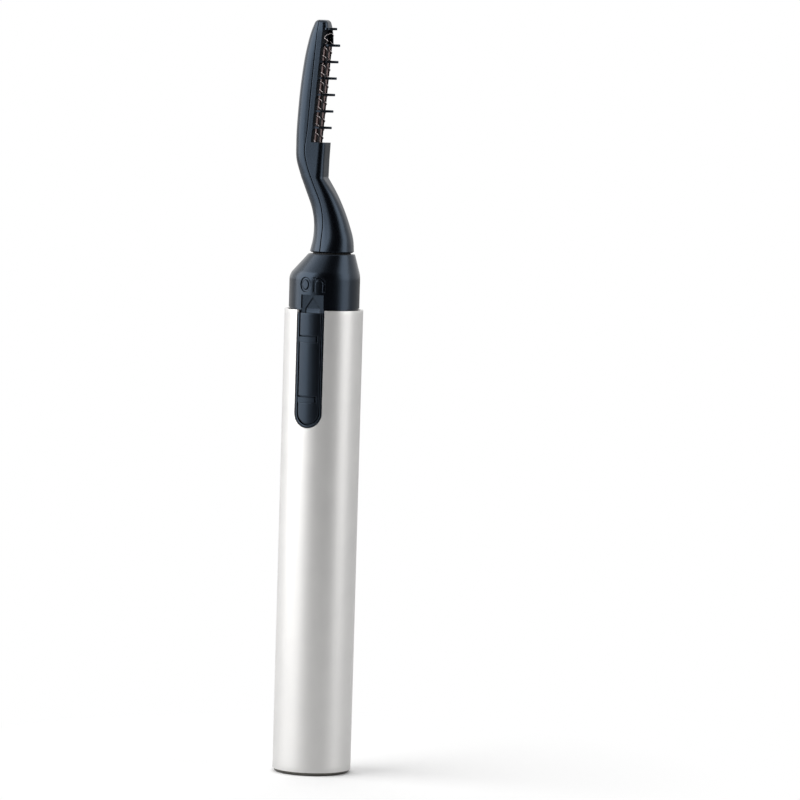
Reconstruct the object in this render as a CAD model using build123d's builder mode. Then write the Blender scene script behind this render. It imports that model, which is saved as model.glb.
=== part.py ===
from build123d import *
from math import atan2, cos, degrees, pi, radians, sin
import os

# Battery heated eyelash curler: a slim pen with a lacquered barrel, a slide switch and a comb head.
# The origin is the middle of the base, +Z runs up the pen, the comb's teeth point along +X and the
# switch faces -Y.  All sizes are in millimetres.

# ---- barrel ----
barrel_radius = 7.5
barrel_wall = 0.55
barrel_length = 88.25
end_cap_lip = 0.65            # the end cap stands this far below the tube
end_cap_inset = 0.25
end_cap_edge = 0.3
end_cap_plug_depth = 3.0
end_cap_glue = 0.03
slot_width = 5.62
slot_length = 22.4            # from the barrel's open rim to the slot's round end
barrel_bore = barrel_radius - barrel_wall
barrel_bottom = end_cap_lip
barrel_top = barrel_bottom + barrel_length
slot_bottom = barrel_top - slot_length
plug_top = barrel_bottom + end_cap_plug_depth

# ---- battery ----
cell_radius = 5.25
cell_can_length = 43.7
cell_button_radius = 1.9
cell_button_height = 0.8
cell_edge = 0.45

# ---- chassis ----
chassis_clearance = 0.4
rib_clearance = 0.05
rib_width = 1.2
foot_gap = 0.05
bay_clearance = 0.2
bulkhead = 1.6
contact_thickness = 0.3
spring_length = 4.6
spring_wire_radius = 0.25
spring_base_radius = 3.6
spring_top_radius = 2.0
spring_turns = 4
spring_steps = 14
disc_margin = 0.6             # of the contact disc beyond the spring
positive_disc_radius = 4.0
positive_tab_width = 2.0
positive_tab_rise = 0.8       # above the upper bulkhead
strap_width = 2.0
strap_clearance = 0.1
strap_depth = 0.2             # of the strap's middle behind the bay's wall
strap_rise = 2.3              # above the upper bulkhead
strap_headroom = 0.7
strap_groove_depth = 1.2
strap_upper_groove_depth = 2.2
chassis_radius = barrel_bore - chassis_clearance
chassis_bottom = plug_top + foot_gap
chassis_top = barrel_top - 0.5
bay_radius = cell_radius + bay_clearance
bay_bottom = chassis_bottom + bulkhead
spring_bottom = bay_bottom + contact_thickness
cell_bottom = spring_bottom + spring_length
can_top = cell_bottom + cell_can_length
button_top = can_top + cell_button_height
bay_top = button_top + contact_thickness
bulkhead_top = bay_top + bulkhead
wire_bore_radius = 4.5
disc_radius = spring_base_radius + disc_margin
strap_top = bulkhead_top + strap_rise
strap_y = -bay_radius - strap_depth

# ---- collar ----
collar_radius = 6.74
collar_lip = 0.25             # the collar is waisted where it dips inside the rim
collar_seat_bottom = barrel_top + 0.3
collar_shoulder = barrel_top + 5.65       # where the straight wall ends
collar_top = barrel_top + 10.6
collar_round = 2.4            # of the shoulder, where it faces away from the head
collar_round_steps = 4
collar_sides = 12             # chords to a quarter turn of the shoulder
collar_wall = 1.4
neck_x = 1.3                  # the head stands off the barrel's axis, towards the teeth
collar_top_radius = 4.42
spigot_height = 4.6
spigot_clearance = 0.05
spigot_headroom = 1.1
collar_cavity_radius = collar_radius - collar_wall
collar_cavity_top = chassis_top + spigot_height + spigot_headroom
spigot_radius = collar_cavity_radius - spigot_clearance

# ---- switch ----
bed_depth = barrel_radius - 1.5           # the bed that the slider runs on, measured from the axis
bed_wall = 1.5
slider_width = 3.93
slider_travel = 3.3
slider_end_gap = 0.1
slider_clearance = 0.05
slider_lift = 0.05
slider_radius = barrel_radius - 0.05
frame_radius = barrel_radius - 0.3
frame_clearance = 0.1
groove_height = 1.3
upper_groove = slot_bottom + 16.95
lower_groove = slot_bottom + 5.45
stem_width = 2.0
stem_length = 5.8
stem_bottom = slot_bottom + 5.5
stem_clearance = 0.1
pocket_half_width = 3.3
pocket_floor = 2.0            # above the slot's lower end
pocket_roof = 1.2             # below the chassis's upper end
recess_width = 4.3
arrow_rise = 0.4              # above the chassis
arrow_width = 3.3
arrow_height = 2.5
arrow_depth = 0.15
wiper_thickness = 0.2
wiper_height = 4.0
wiper_gap = 0.05
wiper_side_gap = 0.5
strip_width = 1.5
feed_strip_length = 12.0
feed_strip_drop = 2.0         # below the stem's lower end
load_strip_length = 8.0
load_strip_rise = 6.0         # above the stem's lower end
bed_inner = bed_depth - bed_wall
slider_bottom = slot_bottom + 0.75
slider_top = chassis_top
slider_height = slider_top - slider_bottom
frame_width = slot_width - 2 * frame_clearance
channel_width = slider_width + 2 * slider_clearance
recess_top = slider_top + slider_travel + slider_end_gap
strip_offset = (stem_width / 2 + stem_clearance + pocket_half_width) / 2
stem_slot_length = stem_length + slider_travel + 2 * stem_clearance

# ---- neck insert ----
insert_radius = 3.62
insert_bore_radius = 2.2
insert_flange_radius = 3.9
insert_flange = 1.0
insert_socket_depth = 2.4
insert_seat = 0.62            # step on which the head stands
neck_gap = 0.25               # shadow gap between collar and head
head_bottom = collar_top + neck_gap
insert_plug_radius = insert_radius - insert_seat
socket_clearance = 0.03

# ---- comb's height ----
tooth_count = 7
tooth_pitch = 3.13
web_thickness = 0.37
first_tooth_rise = 2.82       # of the lowest tooth above the block
block_top = head_bottom + 20.85
tooth_top = block_top + first_tooth_rise + (tooth_count - 1) * tooth_pitch
closure_bottom = tooth_top - web_thickness / 2
comb_run = closure_bottom - block_top
head_top = closure_bottom + 1.885

# ---- head form: height, back, front, half width, front corner radius ----
closure_front = -0.2
foot_chamfer = 0.25
foot_inset = 0.35
base_half = 4.18
crease_row = (head_bottom + 14.15, -5.20, -0.33, 2.46, 1.30)
neck_rows = [
    (head_bottom + 2.75, -2.38, 5.20, 3.60, 3.30),
    (head_bottom + 5.25, -2.28, 4.45, 3.12, 2.80),
    (head_bottom + 8.25, -2.80, 3.25, 2.80, 2.40),
    (head_bottom + 11.25, -3.98, 1.65, 2.60, 1.90),
    crease_row,
]
comb_rows = [
    crease_row,
    (head_bottom + 17.55, -6.28, -0.25, 2.34, 1.15),
    (block_top, -6.44, -0.10, 2.30, 1.10),
    (block_top + 0.30 * comb_run, -6.20, 0.00, 2.30, 1.10),
    (block_top + 0.58 * comb_run, -5.66, 0.05, 2.30, 1.10),
    (block_top + 0.84 * comb_run, -4.78, 0.02, 2.20, 1.10),
    (closure_bottom, -3.86, closure_front, 1.98, 1.00),
    (head_top, -3.10, -0.60, 1.50, 0.80),
]
head_top_round = 0.6
round_steps = 4               # chords to a quarter round of the head's sections
inner_steps = 2
shell_wall = 0.85
far_side = 12.0               # beyond the head on any side
parting_gap = 0.08
parting_points = [
    (0.40, head_bottom - 1.75), (0.40, head_bottom + 2.25), (0.42, head_bottom + 5.95),
    (-0.29, head_bottom + 9.35), (-1.82, head_bottom + 12.75), (-3.25, head_bottom + 16.15),
    (-3.95, head_bottom + 19.15), (-3.60, block_top + 0.07 * comb_run), (-3.04, block_top + 0.41 * comb_run),
    (-2.50, block_top + 0.74 * comb_run), (-1.95, block_top + 1.14 * comb_run),
]

# ---- comb and heater ----
comb_lean = 0.08              # the comb leans this much towards the teeth for each unit of height
comb_floor_x = -2.752         # at the block's top
coil_x = -2.12
coil_half_spacing = 1.4
core_radius = 0.28
core_end_gap = 0.02
coil_wire = 0.12
coil_gap = 0.04
coil_hole_radius = 0.5
coil_hole_sides = 16
coil_headroom = 0.3
web_ring = 0.65
window_corner = 0.5
window_steps = 3
window_reach = 8.0
tooth_root_width = 1.3
tooth_root_sink = 0.3
tooth_tip_width = 0.24
tooth_tip_thickness = 0.28
tooth_reach = 2.46            # tip beyond the coil's axis
top_tooth_reach = 1.5
coil_radius = core_radius + coil_gap + coil_wire / 2     # to the middle of the wire
coil_start = block_top + 0.3
coil_turns_per_tooth = 2
coil_steps = 8
coil_pitch = tooth_pitch / coil_turns_per_tooth
coil_turns = coil_turns_per_tooth * tooth_count - 1
coil_end = coil_start + coil_turns * coil_pitch
terminal_radius = 0.42
terminal_length = 3.0
terminal_inset = 0.25
terminal_pin_radius = 0.07
pin_clearance = 0.03
pin_sides = 8
block_wall = 1.0
block_inner = block_top - block_wall
terminal_drop = 0.6
terminal_top = block_inner - terminal_drop
terminal_x = coil_x + comb_lean * (coil_start - block_top)
terminal_y = coil_half_spacing - coil_radius - terminal_inset
pin_y = coil_half_spacing - coil_radius

# ---- leads ----
lead_radius = 0.4
lead_bend = 1.0
lead_sides = 8
lead_gap = 0.01
feed_lead_lift = 0.5          # mid-way off the bed that the contacts lie on
live_lead_lift = 0.2
contact_lead_y = contact_thickness + lead_radius + lead_gap - bed_inner
neck_lead_y = 0.9


def comb_floor(height):
    """Depth of the comb channel's floor at a height."""
    return comb_floor_x + comb_lean * (height - block_top)


def coil_axis(height):
    """Place of the heater coils' axes at a height."""
    return coil_x + comb_lean * (height - block_top)


def arc_points(centre_x, centre_y, radius, start, sweep_angle, steps):
    """Corners of an arc drawn as equal chords, from a start angle in degrees."""
    angles = [radians(start + sweep_angle * step / steps) for step in range(steps + 1)]
    return [(centre_x + radius * cos(angle), centre_y + radius * sin(angle)) for angle in angles]


def head_section(height, back, front, half_width, corner, steps=round_steps):
    """Round-backed section of the head with two rounded front corners, at a height."""
    side_end = front - corner
    face_half = half_width - corner
    outline = [
        *arc_points(back + half_width, 0, half_width, 90, 180, 2 * steps),
        *arc_points(side_end, -face_half, corner, -90, 90, steps),
        *arc_points(side_end, face_half, corner, 0, 90, steps),
    ]
    with BuildSketch(Plane.XY.offset(height)) as section:
        with BuildLine():
            Polyline(*outline, close=True)
        make_face()
    return section.sketch


def head_sections(rows, wall=0.0):
    """Sections of the head through rows of sizes; inner ones are set in by a wall and plainer."""
    sections = []
    steps = inner_steps if wall else round_steps
    for height, back, front, half_width, corner in rows:
        inner_corner = corner - min(wall, 0.7 * corner)
        sizes = (back + wall, front - wall, half_width - wall, inner_corner)
        sections.append(head_section(height, *sizes, steps))
    return sections


def shoulder_sections():
    """Sections of the collar's shoulder: rounded over, then straight to the off-axis top."""
    narrowing = collar_radius - collar_top_radius
    reach = neck_x + narrowing
    rows = []
    for step in range(collar_round_steps + 1):
        turn = pi / 4 * step / collar_round_steps
        rows.append((collar_shoulder + collar_round * sin(turn), collar_round * (1 - cos(turn)) / reach))
    sections = []
    for height, blend in [*rows, (collar_top, 1)]:
        radius = collar_radius - narrowing * blend
        with BuildSketch(Plane.XY.offset(height)) as section:
            with BuildLine():
                Polyline(*arc_points(neck_x * blend, 0, radius, 0, 360, 4 * collar_sides)[:-1], close=True)
            make_face()
        sections.append(section.sketch)
    return sections


def winding(low_radius, high_radius, height, turns, steps):
    """Corners of a coil wound upwards from the origin, each turn in equal straight steps."""
    corners = turns * steps
    points = []
    for corner in range(corners + 1):
        along = corner / corners
        radius = low_radius + (high_radius - low_radius) * along
        angle = 2 * pi * corner / steps
        points.append((radius * cos(angle), radius * sin(angle), height * along))
    return points


def front_side(shift):
    """Sketch of everything in front of the parting line, moved by a shift."""
    moved = [(x + shift, z) for x, z in parting_points]
    with BuildSketch(Plane.XZ) as region:
        with BuildLine():
            Spline(*moved)
            Polyline(moved[-1], (far_side, moved[-1][1]), (far_side, moved[0][1]), moved[0])
        make_face()
    return region.sketch


def save(part, label):
    """Labels one finished piece and writes it."""
    part.label = label
    export_step(part, f"parts/{label}.step")


os.makedirs("parts", exist_ok=True)

# ================= barrel =================

# Drawn aluminium tube, open at the top, with a slot that runs down from the rim for the switch.
with BuildPart() as barrel_tube:
    with BuildSketch(Plane.XY.offset(barrel_bottom)):
        Circle(barrel_radius)
        Circle(barrel_bore, mode=Mode.SUBTRACT)
    extrude(amount=barrel_length)
    with BuildSketch(Plane.XZ):
        with Locations((0, slot_bottom + slot_length)):
            SlotOverall(2 * slot_length, slot_width, rotation=90)
    extrude(amount=2 * barrel_radius, mode=Mode.SUBTRACT)
save(barrel_tube.part, "barrel_tube")

# Turned plug that closes the barrel's lower end.
with BuildPart() as barrel_end_cap:
    with BuildSketch(Plane.XY):
        Circle(barrel_radius - end_cap_inset)
    extrude(amount=end_cap_lip)
    chamfer(barrel_end_cap.edges().group_by(Axis.Z)[0], end_cap_edge)
    with BuildSketch(Plane.XY.offset(end_cap_lip)):
        Circle(barrel_bore - end_cap_glue)
    extrude(amount=end_cap_plug_depth)
save(barrel_end_cap.part, "barrel_end_cap")

# ================= head unit: chassis and battery =================

# Moulded inner body: battery bay open at the back, switch bed at the front, spigot on top.
with BuildPart() as chassis:
    with BuildSketch(Plane.XY.offset(chassis_bottom)):
        Circle(chassis_radius)
    extrude(amount=chassis_top - chassis_bottom)
    with BuildSketch(Plane.XY.offset(chassis_bottom)):
        with PolarLocations(barrel_bore - rib_clearance - rib_width / 2, 3, start_angle=90):
            Rectangle(rib_width, rib_width)
    extrude(amount=slot_bottom - chassis_bottom)
    with BuildSketch(Plane.XY.offset(chassis_top)):
        Circle(spigot_radius)
    extrude(amount=spigot_height)
    with BuildSketch(Plane.XY.offset(bay_bottom)):
        Circle(bay_radius)
        with Locations((0, barrel_radius)):
            Rectangle(2 * bay_radius, 2 * barrel_radius)
    extrude(amount=bay_top - bay_bottom, mode=Mode.SUBTRACT)
    with BuildSketch(Plane.XY.offset(bulkhead_top)):
        Circle(wire_bore_radius)
    extrude(amount=chassis_top + spigot_height - bulkhead_top, mode=Mode.SUBTRACT)
    with BuildSketch(Plane.XY.offset(bay_top)):
        Circle(cell_button_radius)
    extrude(amount=bulkhead, mode=Mode.SUBTRACT)
    # groove for the return strap
    with BuildSketch(Plane.XY.offset(bay_bottom)):
        with Locations((0, -bay_radius)):
            Rectangle(strap_width + 2 * strap_clearance, strap_groove_depth)
    extrude(amount=strap_top + strap_headroom - bay_bottom, mode=Mode.SUBTRACT)
    with BuildSketch(Plane.XY.offset(bulkhead_top)):
        with Locations((0, -wire_bore_radius)):
            Rectangle(strap_width + 2 * strap_clearance, strap_upper_groove_depth)
    extrude(amount=strap_rise + strap_headroom, mode=Mode.SUBTRACT)
    # flat bed outside, flat pocket inside, and the slot between them
    with BuildSketch(Plane.XY.offset(slot_bottom)):
        with Locations((0, -bed_depth - barrel_radius / 2)):
            Rectangle(2 * barrel_radius, barrel_radius)
    extrude(amount=chassis_top - slot_bottom, mode=Mode.SUBTRACT)
    with BuildSketch(Plane.XY.offset(slot_bottom + pocket_floor)):
        with Locations((0, -bed_inner / 2)):
            Rectangle(2 * pocket_half_width, bed_inner)
    extrude(amount=chassis_top - pocket_roof - slot_bottom - pocket_floor, mode=Mode.SUBTRACT)
    with BuildSketch(Plane.XZ):
        with Locations((0, stem_bottom - stem_clearance + stem_slot_length / 2)):
            Rectangle(stem_width + 2 * stem_clearance, stem_slot_length)
    extrude(amount=2 * barrel_radius, mode=Mode.SUBTRACT)
save(chassis.part, "chassis")

# AAA cell: steel can and its positive button.
with BuildPart() as battery_can:
    with BuildSketch(Plane.XY.offset(cell_bottom)):
        Circle(cell_radius)
    extrude(amount=cell_can_length)
    chamfer(battery_can.edges().filter_by(GeomType.CIRCLE), cell_edge)
save(battery_can.part, "battery_can")

with BuildPart() as battery_button:
    with BuildSketch(Plane.XY.offset(can_top)):
        Circle(cell_button_radius)
    extrude(amount=cell_button_height)
    chamfer(battery_button.edges().group_by(Axis.Z)[-1], cell_edge / 2)
save(battery_button.part, "battery_button")

# Negative side: disc on the lower bulkhead, conical spring on it, strap up the chassis wall.
with BuildPart() as negative_contact:
    with BuildSketch(Plane.XY.offset(bay_bottom)):
        Circle(disc_radius)
    extrude(amount=contact_thickness)
save(negative_contact.part, "negative_contact")

spring_low = spring_bottom + spring_wire_radius
spring_rise = spring_length - 2 * spring_wire_radius
with BuildPart() as battery_spring:
    with BuildLine(Plane.XY.offset(spring_low)) as spring_line:
        Polyline(*winding(
            spring_base_radius - spring_wire_radius, spring_top_radius, spring_rise, spring_turns, spring_steps,
        ))
    with BuildSketch(Plane(origin=spring_line.line @ 0, z_dir=spring_line.line % 0)):
        RegularPolygon(spring_wire_radius, 6)
    sweep(transition=Transition.RIGHT)
save(battery_spring.part, "battery_spring")

with BuildPart() as negative_strap:
    with BuildSketch(Plane.YZ):
        with BuildLine():
            Polyline(
                (-disc_radius, bay_bottom),
                (strap_y - contact_thickness / 2, bay_bottom),
                (strap_y - contact_thickness / 2, strap_top),
                (strap_y + contact_thickness / 2, strap_top),
                (strap_y + contact_thickness / 2, bay_bottom + contact_thickness),
                (-disc_radius, bay_bottom + contact_thickness),
                close=True,
            )
        make_face()
    extrude(amount=strap_width / 2, both=True)
save(negative_strap.part, "negative_strap")

# Positive side: disc over the button with a tab that rises through the bulkhead.
with BuildPart() as positive_contact:
    with BuildSketch(Plane.XY.offset(button_top)):
        Circle(positive_disc_radius)
    extrude(amount=contact_thickness)
    with BuildSketch(Plane.XY.offset(bay_top)):
        Rectangle(positive_tab_width, contact_thickness)
    extrude(amount=bulkhead + positive_tab_rise)
save(positive_contact.part, "positive_contact")

# ================= head unit: collar and switch parts =================

# Black collar above the barrel, blended to the off-axis neck, with the recess the slider runs into.
with BuildPart() as collar:
    with BuildSketch(Plane.XY.offset(chassis_top)):
        Circle(collar_radius - collar_lip)
    extrude(amount=collar_seat_bottom - chassis_top)
    with BuildSketch(Plane.XY.offset(collar_seat_bottom)):
        Circle(collar_radius)
    extrude(amount=collar_shoulder - collar_seat_bottom)
    loft(shoulder_sections())
    with BuildSketch(Plane.XY.offset(chassis_top)):
        Circle(collar_cavity_radius)
    extrude(amount=collar_cavity_top - chassis_top, mode=Mode.SUBTRACT)
    with BuildSketch(Plane.XY.offset(collar_cavity_top)):
        with Locations((neck_x, 0)):
            Circle(insert_radius)
    extrude(amount=collar_top - collar_cavity_top, mode=Mode.SUBTRACT)
    with BuildSketch(Plane.XZ.offset(bed_depth)):
        with Locations((0, (chassis_top + recess_top) / 2)):
            Rectangle(recess_width, recess_top - chassis_top)
    extrude(amount=barrel_radius, mode=Mode.SUBTRACT)
    with BuildSketch(Plane.XZ.offset(bed_depth - arrow_depth)):
        with BuildLine():
            Polyline(
                (-arrow_width / 2, chassis_top + arrow_rise),
                (arrow_width / 2, chassis_top + arrow_rise),
                (0, chassis_top + arrow_rise + arrow_height),
                close=True,
            )
        make_face()
    extrude(amount=arrow_depth, mode=Mode.SUBTRACT)
save(collar.part, "collar")

# U-shaped frame that fills the barrel's slot round the slider.
with BuildPart() as switch_frame:
    frame_bottom = slot_bottom + frame_clearance
    frame_length = chassis_top - frame_bottom
    with BuildSketch(Plane.XY.offset(frame_bottom)):
        Circle(frame_radius)
    extrude(amount=frame_length)
    with BuildSketch(Plane.XZ.offset(bed_depth)):
        with Locations((0, frame_bottom + frame_length)):
            SlotOverall(2 * frame_length, frame_width, rotation=90)
            SlotOverall(2 * (slider_height + slider_end_gap), channel_width, rotation=90, mode=Mode.SUBTRACT)
    extrude(amount=barrel_radius, mode=Mode.INTERSECT)
save(switch_frame.part, "switch_frame")

# Slider: a plate flush with the barrel, two thumb grooves across it, and a stem through the bed.
with BuildPart() as switch_slider:
    with BuildSketch(Plane.XY.offset(slider_bottom)):
        Circle(slider_radius)
    extrude(amount=slider_height)
    with BuildSketch(Plane.XZ.offset(bed_depth + slider_lift)):
        with Locations((0, slider_bottom + slider_height)):
            SlotOverall(2 * slider_height, slider_width, rotation=90)
    extrude(amount=barrel_radius, mode=Mode.INTERSECT)
    for groove in (upper_groove, lower_groove):
        with BuildSketch(Plane.XY.offset(groove - groove_height / 2)):
            Circle(2 * barrel_radius)
            Circle(frame_radius, mode=Mode.SUBTRACT)
        extrude(amount=groove_height, mode=Mode.SUBTRACT)
    stem_reach = bed_inner - wiper_gap - contact_thickness
    with BuildSketch(Plane.XZ.offset(stem_reach)):
        with Locations((0, stem_bottom + stem_length / 2)):
            Rectangle(stem_width, stem_length)
    extrude(amount=bed_depth + slider_lift - stem_reach)
save(switch_slider.part, "switch_slider")

# Bridging wiper on the stem's inner end.
with BuildPart() as switch_wiper:
    with BuildSketch(Plane.XZ.offset(stem_reach - wiper_thickness)):
        with Locations((0, stem_bottom + stem_length / 2)):
            Rectangle(2 * (pocket_half_width - wiper_side_gap), wiper_height)
    extrude(amount=wiper_thickness)
save(switch_wiper.part, "switch_wiper")

# Two fixed contact strips on the inside of the bed.
contact_strips = {
    "feed_contact": (-strip_offset, stem_bottom - feed_strip_drop, feed_strip_length),
    "load_contact": (strip_offset, stem_bottom + load_strip_rise, load_strip_length),
}
for contact_name, (strip_x, strip_bottom, strip_length) in contact_strips.items():
    with BuildPart() as contact_strip:
        with BuildSketch(Plane.XZ.offset(bed_inner - contact_thickness)):
            with Locations((strip_x, strip_bottom + strip_length / 2)):
                Rectangle(strip_width, strip_length)
        extrude(amount=contact_thickness)
    save(contact_strip.part, contact_name)

# Stepped sleeve that carries the head on the collar and shows as the dark ring between them.
with BuildPart() as neck_insert:
    with BuildSketch(Plane.XY.offset(collar_cavity_top - insert_flange)):
        with Locations((neck_x, 0)):
            Circle(insert_flange_radius)
    extrude(amount=insert_flange)
    with BuildSketch(Plane.XY.offset(collar_cavity_top)):
        with Locations((neck_x, 0)):
            Circle(insert_radius)
    extrude(amount=head_bottom - collar_cavity_top)
    with BuildSketch(Plane.XY.offset(head_bottom)):
        with Locations((neck_x, 0)):
            Circle(insert_plug_radius)
    extrude(amount=insert_socket_depth)
    with BuildSketch(Plane.XY.offset(collar_cavity_top - insert_flange)):
        with Locations((neck_x, 0)):
            Circle(insert_bore_radius)
    extrude(amount=head_bottom + insert_socket_depth, mode=Mode.SUBTRACT)
save(neck_insert.part, "neck_insert")

# Insulated leads inside: battery to switch, switch to heater, heater back to the strap.
neck_run = [
    (1.6, neck_lead_y, head_bottom + 1.25), (1.3, neck_lead_y, head_bottom + 4.75),
    (-1.6, terminal_y, head_bottom + 12.55),
]
spigot_top = chassis_top + spigot_height
lead_run = stem_bottom - bulkhead_top
heater_end = (terminal_x, terminal_y, terminal_top - terminal_length)
lead_routes = {
    "feed_lead": [
        (0, 0, bulkhead_top + positive_tab_rise), (0, 0, bulkhead_top + 0.31 * lead_run),
        (-strip_offset, contact_lead_y + feed_lead_lift, bulkhead_top + 0.64 * lead_run),
        (-strip_offset, contact_lead_y, bulkhead_top + 0.93 * lead_run),
    ],
    "return_lead": [
        (0, -5.1, bulkhead_top + 0.04 * lead_run), (0, -4.9, bulkhead_top + 0.14 * lead_run),
        (2.8, -1.5, bulkhead_top + 0.35 * lead_run), (2.5, 2.2, bulkhead_top + 0.67 * lead_run),
        (1.5, 2.6, chassis_top - 2.4), (1.6, neck_lead_y, spigot_top),
        *neck_run, heater_end,
    ],
    "live_lead": [
        (strip_offset, contact_lead_y, stem_bottom + 9.5),
        (strip_offset, contact_lead_y + live_lead_lift, stem_bottom + 13.5),
        (1.6, -neck_lead_y, spigot_top),
        *[(x, -y, z) for x, y, z in neck_run], (heater_end[0], -heater_end[1], heater_end[2]),
    ],
}
for lead_name, route in lead_routes.items():
    with BuildPart() as lead:
        with BuildLine() as lead_line:
            FilletPolyline(*route, radius=lead_bend)
        with BuildSketch(Plane(origin=lead_line.line @ 0, z_dir=lead_line.line % 0)):
            RegularPolygon(lead_radius, lead_sides)
        sweep()
    save(lead.part, lead_name)

# ================= head =================

# Outer form of the head: a round foot that bends back into the neck and rises to the comb.
foot_row = (head_bottom + foot_chamfer, neck_x - base_half, neck_x + base_half, base_half, base_half - 0.08)
sole_half = base_half - foot_inset
sole_row = (head_bottom, neck_x - sole_half, neck_x + sole_half, sole_half, sole_half - 0.08)
with BuildPart() as head_form:
    loft(head_sections([sole_row, foot_row]))
    loft(head_sections([foot_row, *neck_rows]))
    loft(head_sections(comb_rows))
    fillet(head_form.edges().group_by(Axis.Z)[-1], head_top_round)

# Room inside for the leads and the heater's ends.
with BuildPart() as head_hollow:
    loft(head_sections([foot_row, *neck_rows], shell_wall))
    loft(head_sections([crease_row, (block_inner, -6.42, -0.12, 2.31, 1.1)], shell_wall))
    comb_hollow = []
    for height, back, front, half_width, corner in comb_rows[2:-2]:
        comb_hollow.append((height, back, comb_floor(height), half_width, corner))
    loft(head_sections(comb_hollow, shell_wall))
    with BuildSketch(Plane.XY.offset(head_bottom)):
        with Locations((neck_x, 0)):
            Circle(insert_plug_radius + socket_clearance)
    extrude(amount=insert_socket_depth + 0.05)


# Back half of the head's casing.
with BuildPart() as head_back_shell:
    add(head_form.part)
    add(head_hollow.part, mode=Mode.SUBTRACT)
    extrude(front_side(-parting_gap), amount=far_side, both=True, mode=Mode.SUBTRACT)
save(head_back_shell.part, "head_back_shell")

# Front half: the comb, cut by a window between each pair of webs, each web rising to one tooth.
with BuildPart() as head_front_shell:
    add(head_form.part)
    add(head_hollow.part, mode=Mode.SUBTRACT)
    extrude(front_side(0.0), amount=far_side, both=True, mode=Mode.INTERSECT)
    # the channel's mouth, parallel to the coils
    with BuildSketch(Plane.XZ):
        with BuildLine():
            Polyline(
                (coil_axis(block_top) + web_ring, block_top),
                (coil_axis(closure_bottom) + web_ring, closure_bottom),
                (window_reach, closure_bottom),
                (window_reach, block_top),
                close=True,
            )
        make_face()
    extrude(amount=far_side, both=True, mode=Mode.SUBTRACT)
    # windows
    for tooth in range(tooth_count):
        upper = tooth_top - tooth * tooth_pitch - web_thickness / 2
        lower = upper - tooth_pitch + web_thickness
        if tooth == tooth_count - 1:
            lower = block_top
        floor = comb_floor((upper + lower) / 2) + window_corner
        with BuildSketch(Plane.XZ):
            with BuildLine():
                Polyline(
                    (window_reach, upper),
                    *arc_points(floor, upper - window_corner, window_corner, 90, 90, window_steps),
                    *arc_points(floor, lower + window_corner, window_corner, 180, 90, window_steps),
                    (window_reach, lower),
                    close=True,
                )
            make_face()
        extrude(amount=far_side, both=True, mode=Mode.SUBTRACT)
    # teeth
    for tooth in range(tooth_count):
        height = tooth_top - tooth * tooth_pitch
        root = min(coil_axis(height) + web_ring, closure_front) - tooth_root_sink
        tip = coil_axis(height) + (top_tooth_reach if tooth == 0 else tooth_reach)
        with BuildSketch(Plane.YZ.offset(root)):
            with Locations((0, height)):
                Rectangle(tooth_root_width, web_thickness)
        with BuildSketch(Plane.YZ.offset(tip)):
            with Locations((0, height)):
                Rectangle(tooth_tip_width, tooth_tip_thickness)
        loft(ruled=True)
    # holes that the coils thread through
    coil_run = closure_bottom - block_top
    lean_angle = Vector(comb_lean, 0, 1)
    for side in (-1, 1):
        coil_foot = (coil_axis(block_top), side * coil_half_spacing, block_top)
        with BuildSketch(Plane(origin=coil_foot, z_dir=lean_angle)):
            RegularPolygon(coil_hole_radius, coil_hole_sides)
        extrude(amount=coil_run - coil_headroom, mode=Mode.SUBTRACT)
        with BuildSketch(Plane.XY.offset(terminal_top)):
            with Locations((terminal_x, side * pin_y)):
                RegularPolygon(terminal_pin_radius + pin_clearance, pin_sides)
        extrude(amount=coil_start - terminal_top, mode=Mode.SUBTRACT)
save(head_front_shell.part, "head_front_shell")

# Heater: two coils of resistance wire threaded through the webs, joined across at the top.
with BuildPart() as coil_turn_stack:
    with BuildLine() as coil_line:
        Polyline(*winding(coil_radius, coil_radius, coil_turns * coil_pitch, coil_turns, coil_steps))
    with BuildSketch(Plane(origin=coil_line.line @ 0, z_dir=coil_line.line % 0)):
        Rectangle(coil_wire, coil_wire)
    sweep(transition=Transition.RIGHT)

coil_tilt = degrees(atan2(comb_lean, 1))
with BuildPart() as heater_coil:
    with Locations(Location((terminal_x, coil_half_spacing, coil_start), (0, coil_tilt, 0))):
        add(coil_turn_stack.part, rotation=(0, 0, -90))
    mirror(about=Plane.XZ)
    with Locations((coil_axis(coil_end), 0, coil_end)):
        Box(coil_wire, 2 * pin_y + coil_wire, coil_wire)
save(heater_coil.part, "heater_coil")

# Straight cores that the coils are wound round.
core_foot = block_top + core_end_gap
core_top = closure_bottom - core_end_gap
with BuildPart() as heater_cores:
    with BuildSketch(Plane(origin=(coil_axis(core_foot), coil_half_spacing, core_foot), z_dir=lean_angle)):
        Circle(core_radius)
    extrude(amount=core_top - core_foot)
    mirror(about=Plane.XZ)
save(heater_cores.part, "heater_cores")

# Crimp ferrules on the leads, each with a pin that rises through the block to a coil's foot.
with BuildPart() as heater_terminals:
    for side in (-1, 1):
        with BuildSketch(Plane.XY.offset(terminal_top - terminal_length)):
            with Locations((terminal_x, side * terminal_y)):
                RegularPolygon(terminal_radius, 2 * pin_sides)
        extrude(amount=terminal_length)
        with BuildSketch(Plane.XY.offset(terminal_top)):
            with Locations((terminal_x, side * pin_y)):
                RegularPolygon(terminal_pin_radius, pin_sides)
        extrude(amount=coil_start - coil_wire / 2 - terminal_top)
save(heater_terminals.part, "heater_terminals")
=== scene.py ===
import bmesh
import bpy
import numpy as np
from mathutils import Matrix, Vector


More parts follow.
